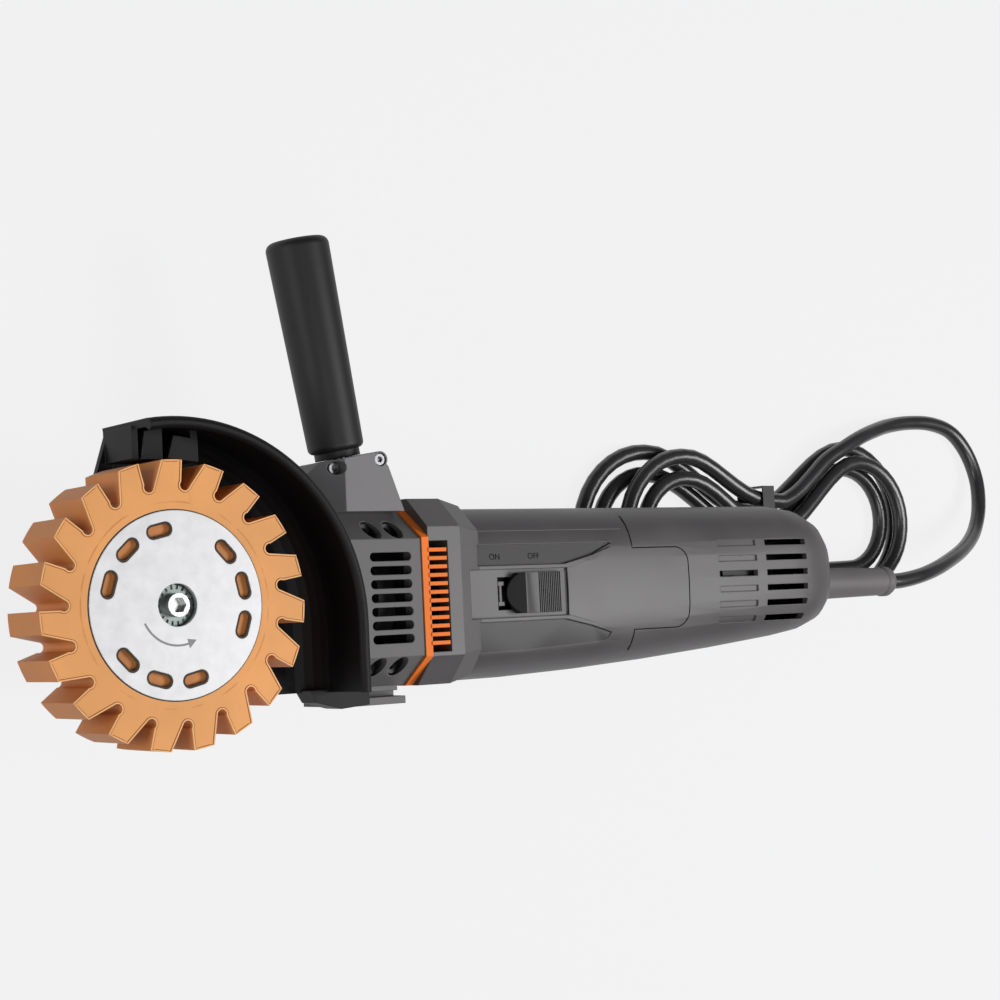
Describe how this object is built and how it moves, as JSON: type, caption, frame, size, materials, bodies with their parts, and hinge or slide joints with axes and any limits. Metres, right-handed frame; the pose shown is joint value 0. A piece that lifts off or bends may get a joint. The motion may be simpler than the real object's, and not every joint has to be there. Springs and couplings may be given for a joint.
{
  "type": "rotary stripping tool",
  "caption": "Corded hand tool whose motor drives a toothed rubber eraser wheel under a half hood, with a side handle, a thumb slide switch and a tied lead.",
  "frame": {"origin": "middle of the round pad on the gear head's back, which the tool lies on; the wheel's axis is 80 mm towards -X", "axes": "+X along the motor towards the lead, +Y towards the side handle, +Z out of the wheel's front face"},
  "size_m": [0.6233, 0.2037, 0.1246],
  "materials": {
    "eraser_rubber": "satin",
    "plate_steel": "satin",
    "bright_steel": "satin",
    "gear_steel": "satin",
    "cast_metal": "matte",
    "hood_black": "satin",
    "head_plastic": "matte",
    "housing_plastic": "matte",
    "slider_plastic": "matte",
    "ring_orange": "satin",
    "inner_plastic": "matte",
    "iron_stack": "satin",
    "copper_wire": "satin",
    "brass": "satin",
    "carbon": "matte",
    "cord_rubber": "satin",
    "tie": "matte"
  },
  "bodies": {
    "tool": {"gear_case": "cast_metal", "gear_cover": "head_plastic", "cover_screws": "bright_steel", "spindle_bearing_front": "bright_steel", "spindle_bearing_rear": "bright_steel", "guard_hood": "hood_black", "hood_screws": "bright_steel", "guard_foot_rail": "hood_black", "handle_bracket": "head_plastic", "bracket_screws": "bright_steel", "handle_stud": "bright_steel", "handle_grip": "head_plastic", "flange_ring": "ring_orange", "bearing_sleeve": "cast_metal", "pinion_bearing_front": "bright_steel", "pinion_bearing_rear": "bright_steel", "bearing_plate": "cast_metal", "motor_bearing_front": "bright_steel", "motor_housing": "housing_plastic", "stator_core": "iron_stack", "field_coils": "copper_wire", "brush_holders": "brass", "carbon_brushes": "carbon", "brush_springs": "bright_steel", "rear_bearing_bridge": "inner_plastic", "motor_bearing_rear": "bright_steel", "rear_cap": "housing_plastic", "switch_block": "inner_plastic", "terminal_block": "inner_plastic", "cord_clamp": "inner_plastic", "strain_relief": "housing_plastic", "cord_free": "cord_rubber", "cord_hank": "cord_rubber", "cord_tie": "tie", "cord_tail": "cord_rubber", "plug": "cord_rubber", "plug_blades": "brass"},
    "wheel": {"eraser_wheel": "eraser_rubber", "wheel_bush": "bright_steel", "front_plate": "plate_steel", "rear_plate": "plate_steel", "serrated_washer": "gear_steel", "clamp_screw": "bright_steel", "spindle": "bright_steel", "crown_gear": "gear_steel", "gear_circlip": "bright_steel"},
    "rotor": {"bevel_pinion": "gear_steel", "coupling_sleeve": "bright_steel", "armature_shaft": "bright_steel", "cooling_fan": "inner_plastic", "armature_core": "iron_stack", "armature_windings": "copper_wire", "commutator": "copper_wire"},
    "switch": {"switch_slider": "slider_plastic", "switch_rod": "slider_plastic"}
  },
  "joints": [
    {"name": "wheel_spin", "type": "hinge", "parent": "tool", "child": "wheel", "pos_m": [-0.08, 0, 0.051], "axis": [0, 0, 1], "continuous": true},
    {"name": "rotor_spin", "type": "hinge", "parent": "tool", "child": "rotor", "pos_m": [-0.08, 0, 0.051], "axis": [1, 0, 0], "continuous": true},
    {"name": "switch_slide", "type": "slide", "parent": "tool", "child": "switch", "axis": [1, 0, 0], "range_m": [-0.008, 0]}
  ],
  "couplings": [
    {"joint": "rotor_spin", "follows": "wheel_spin", "ratio": -3}
  ]
}
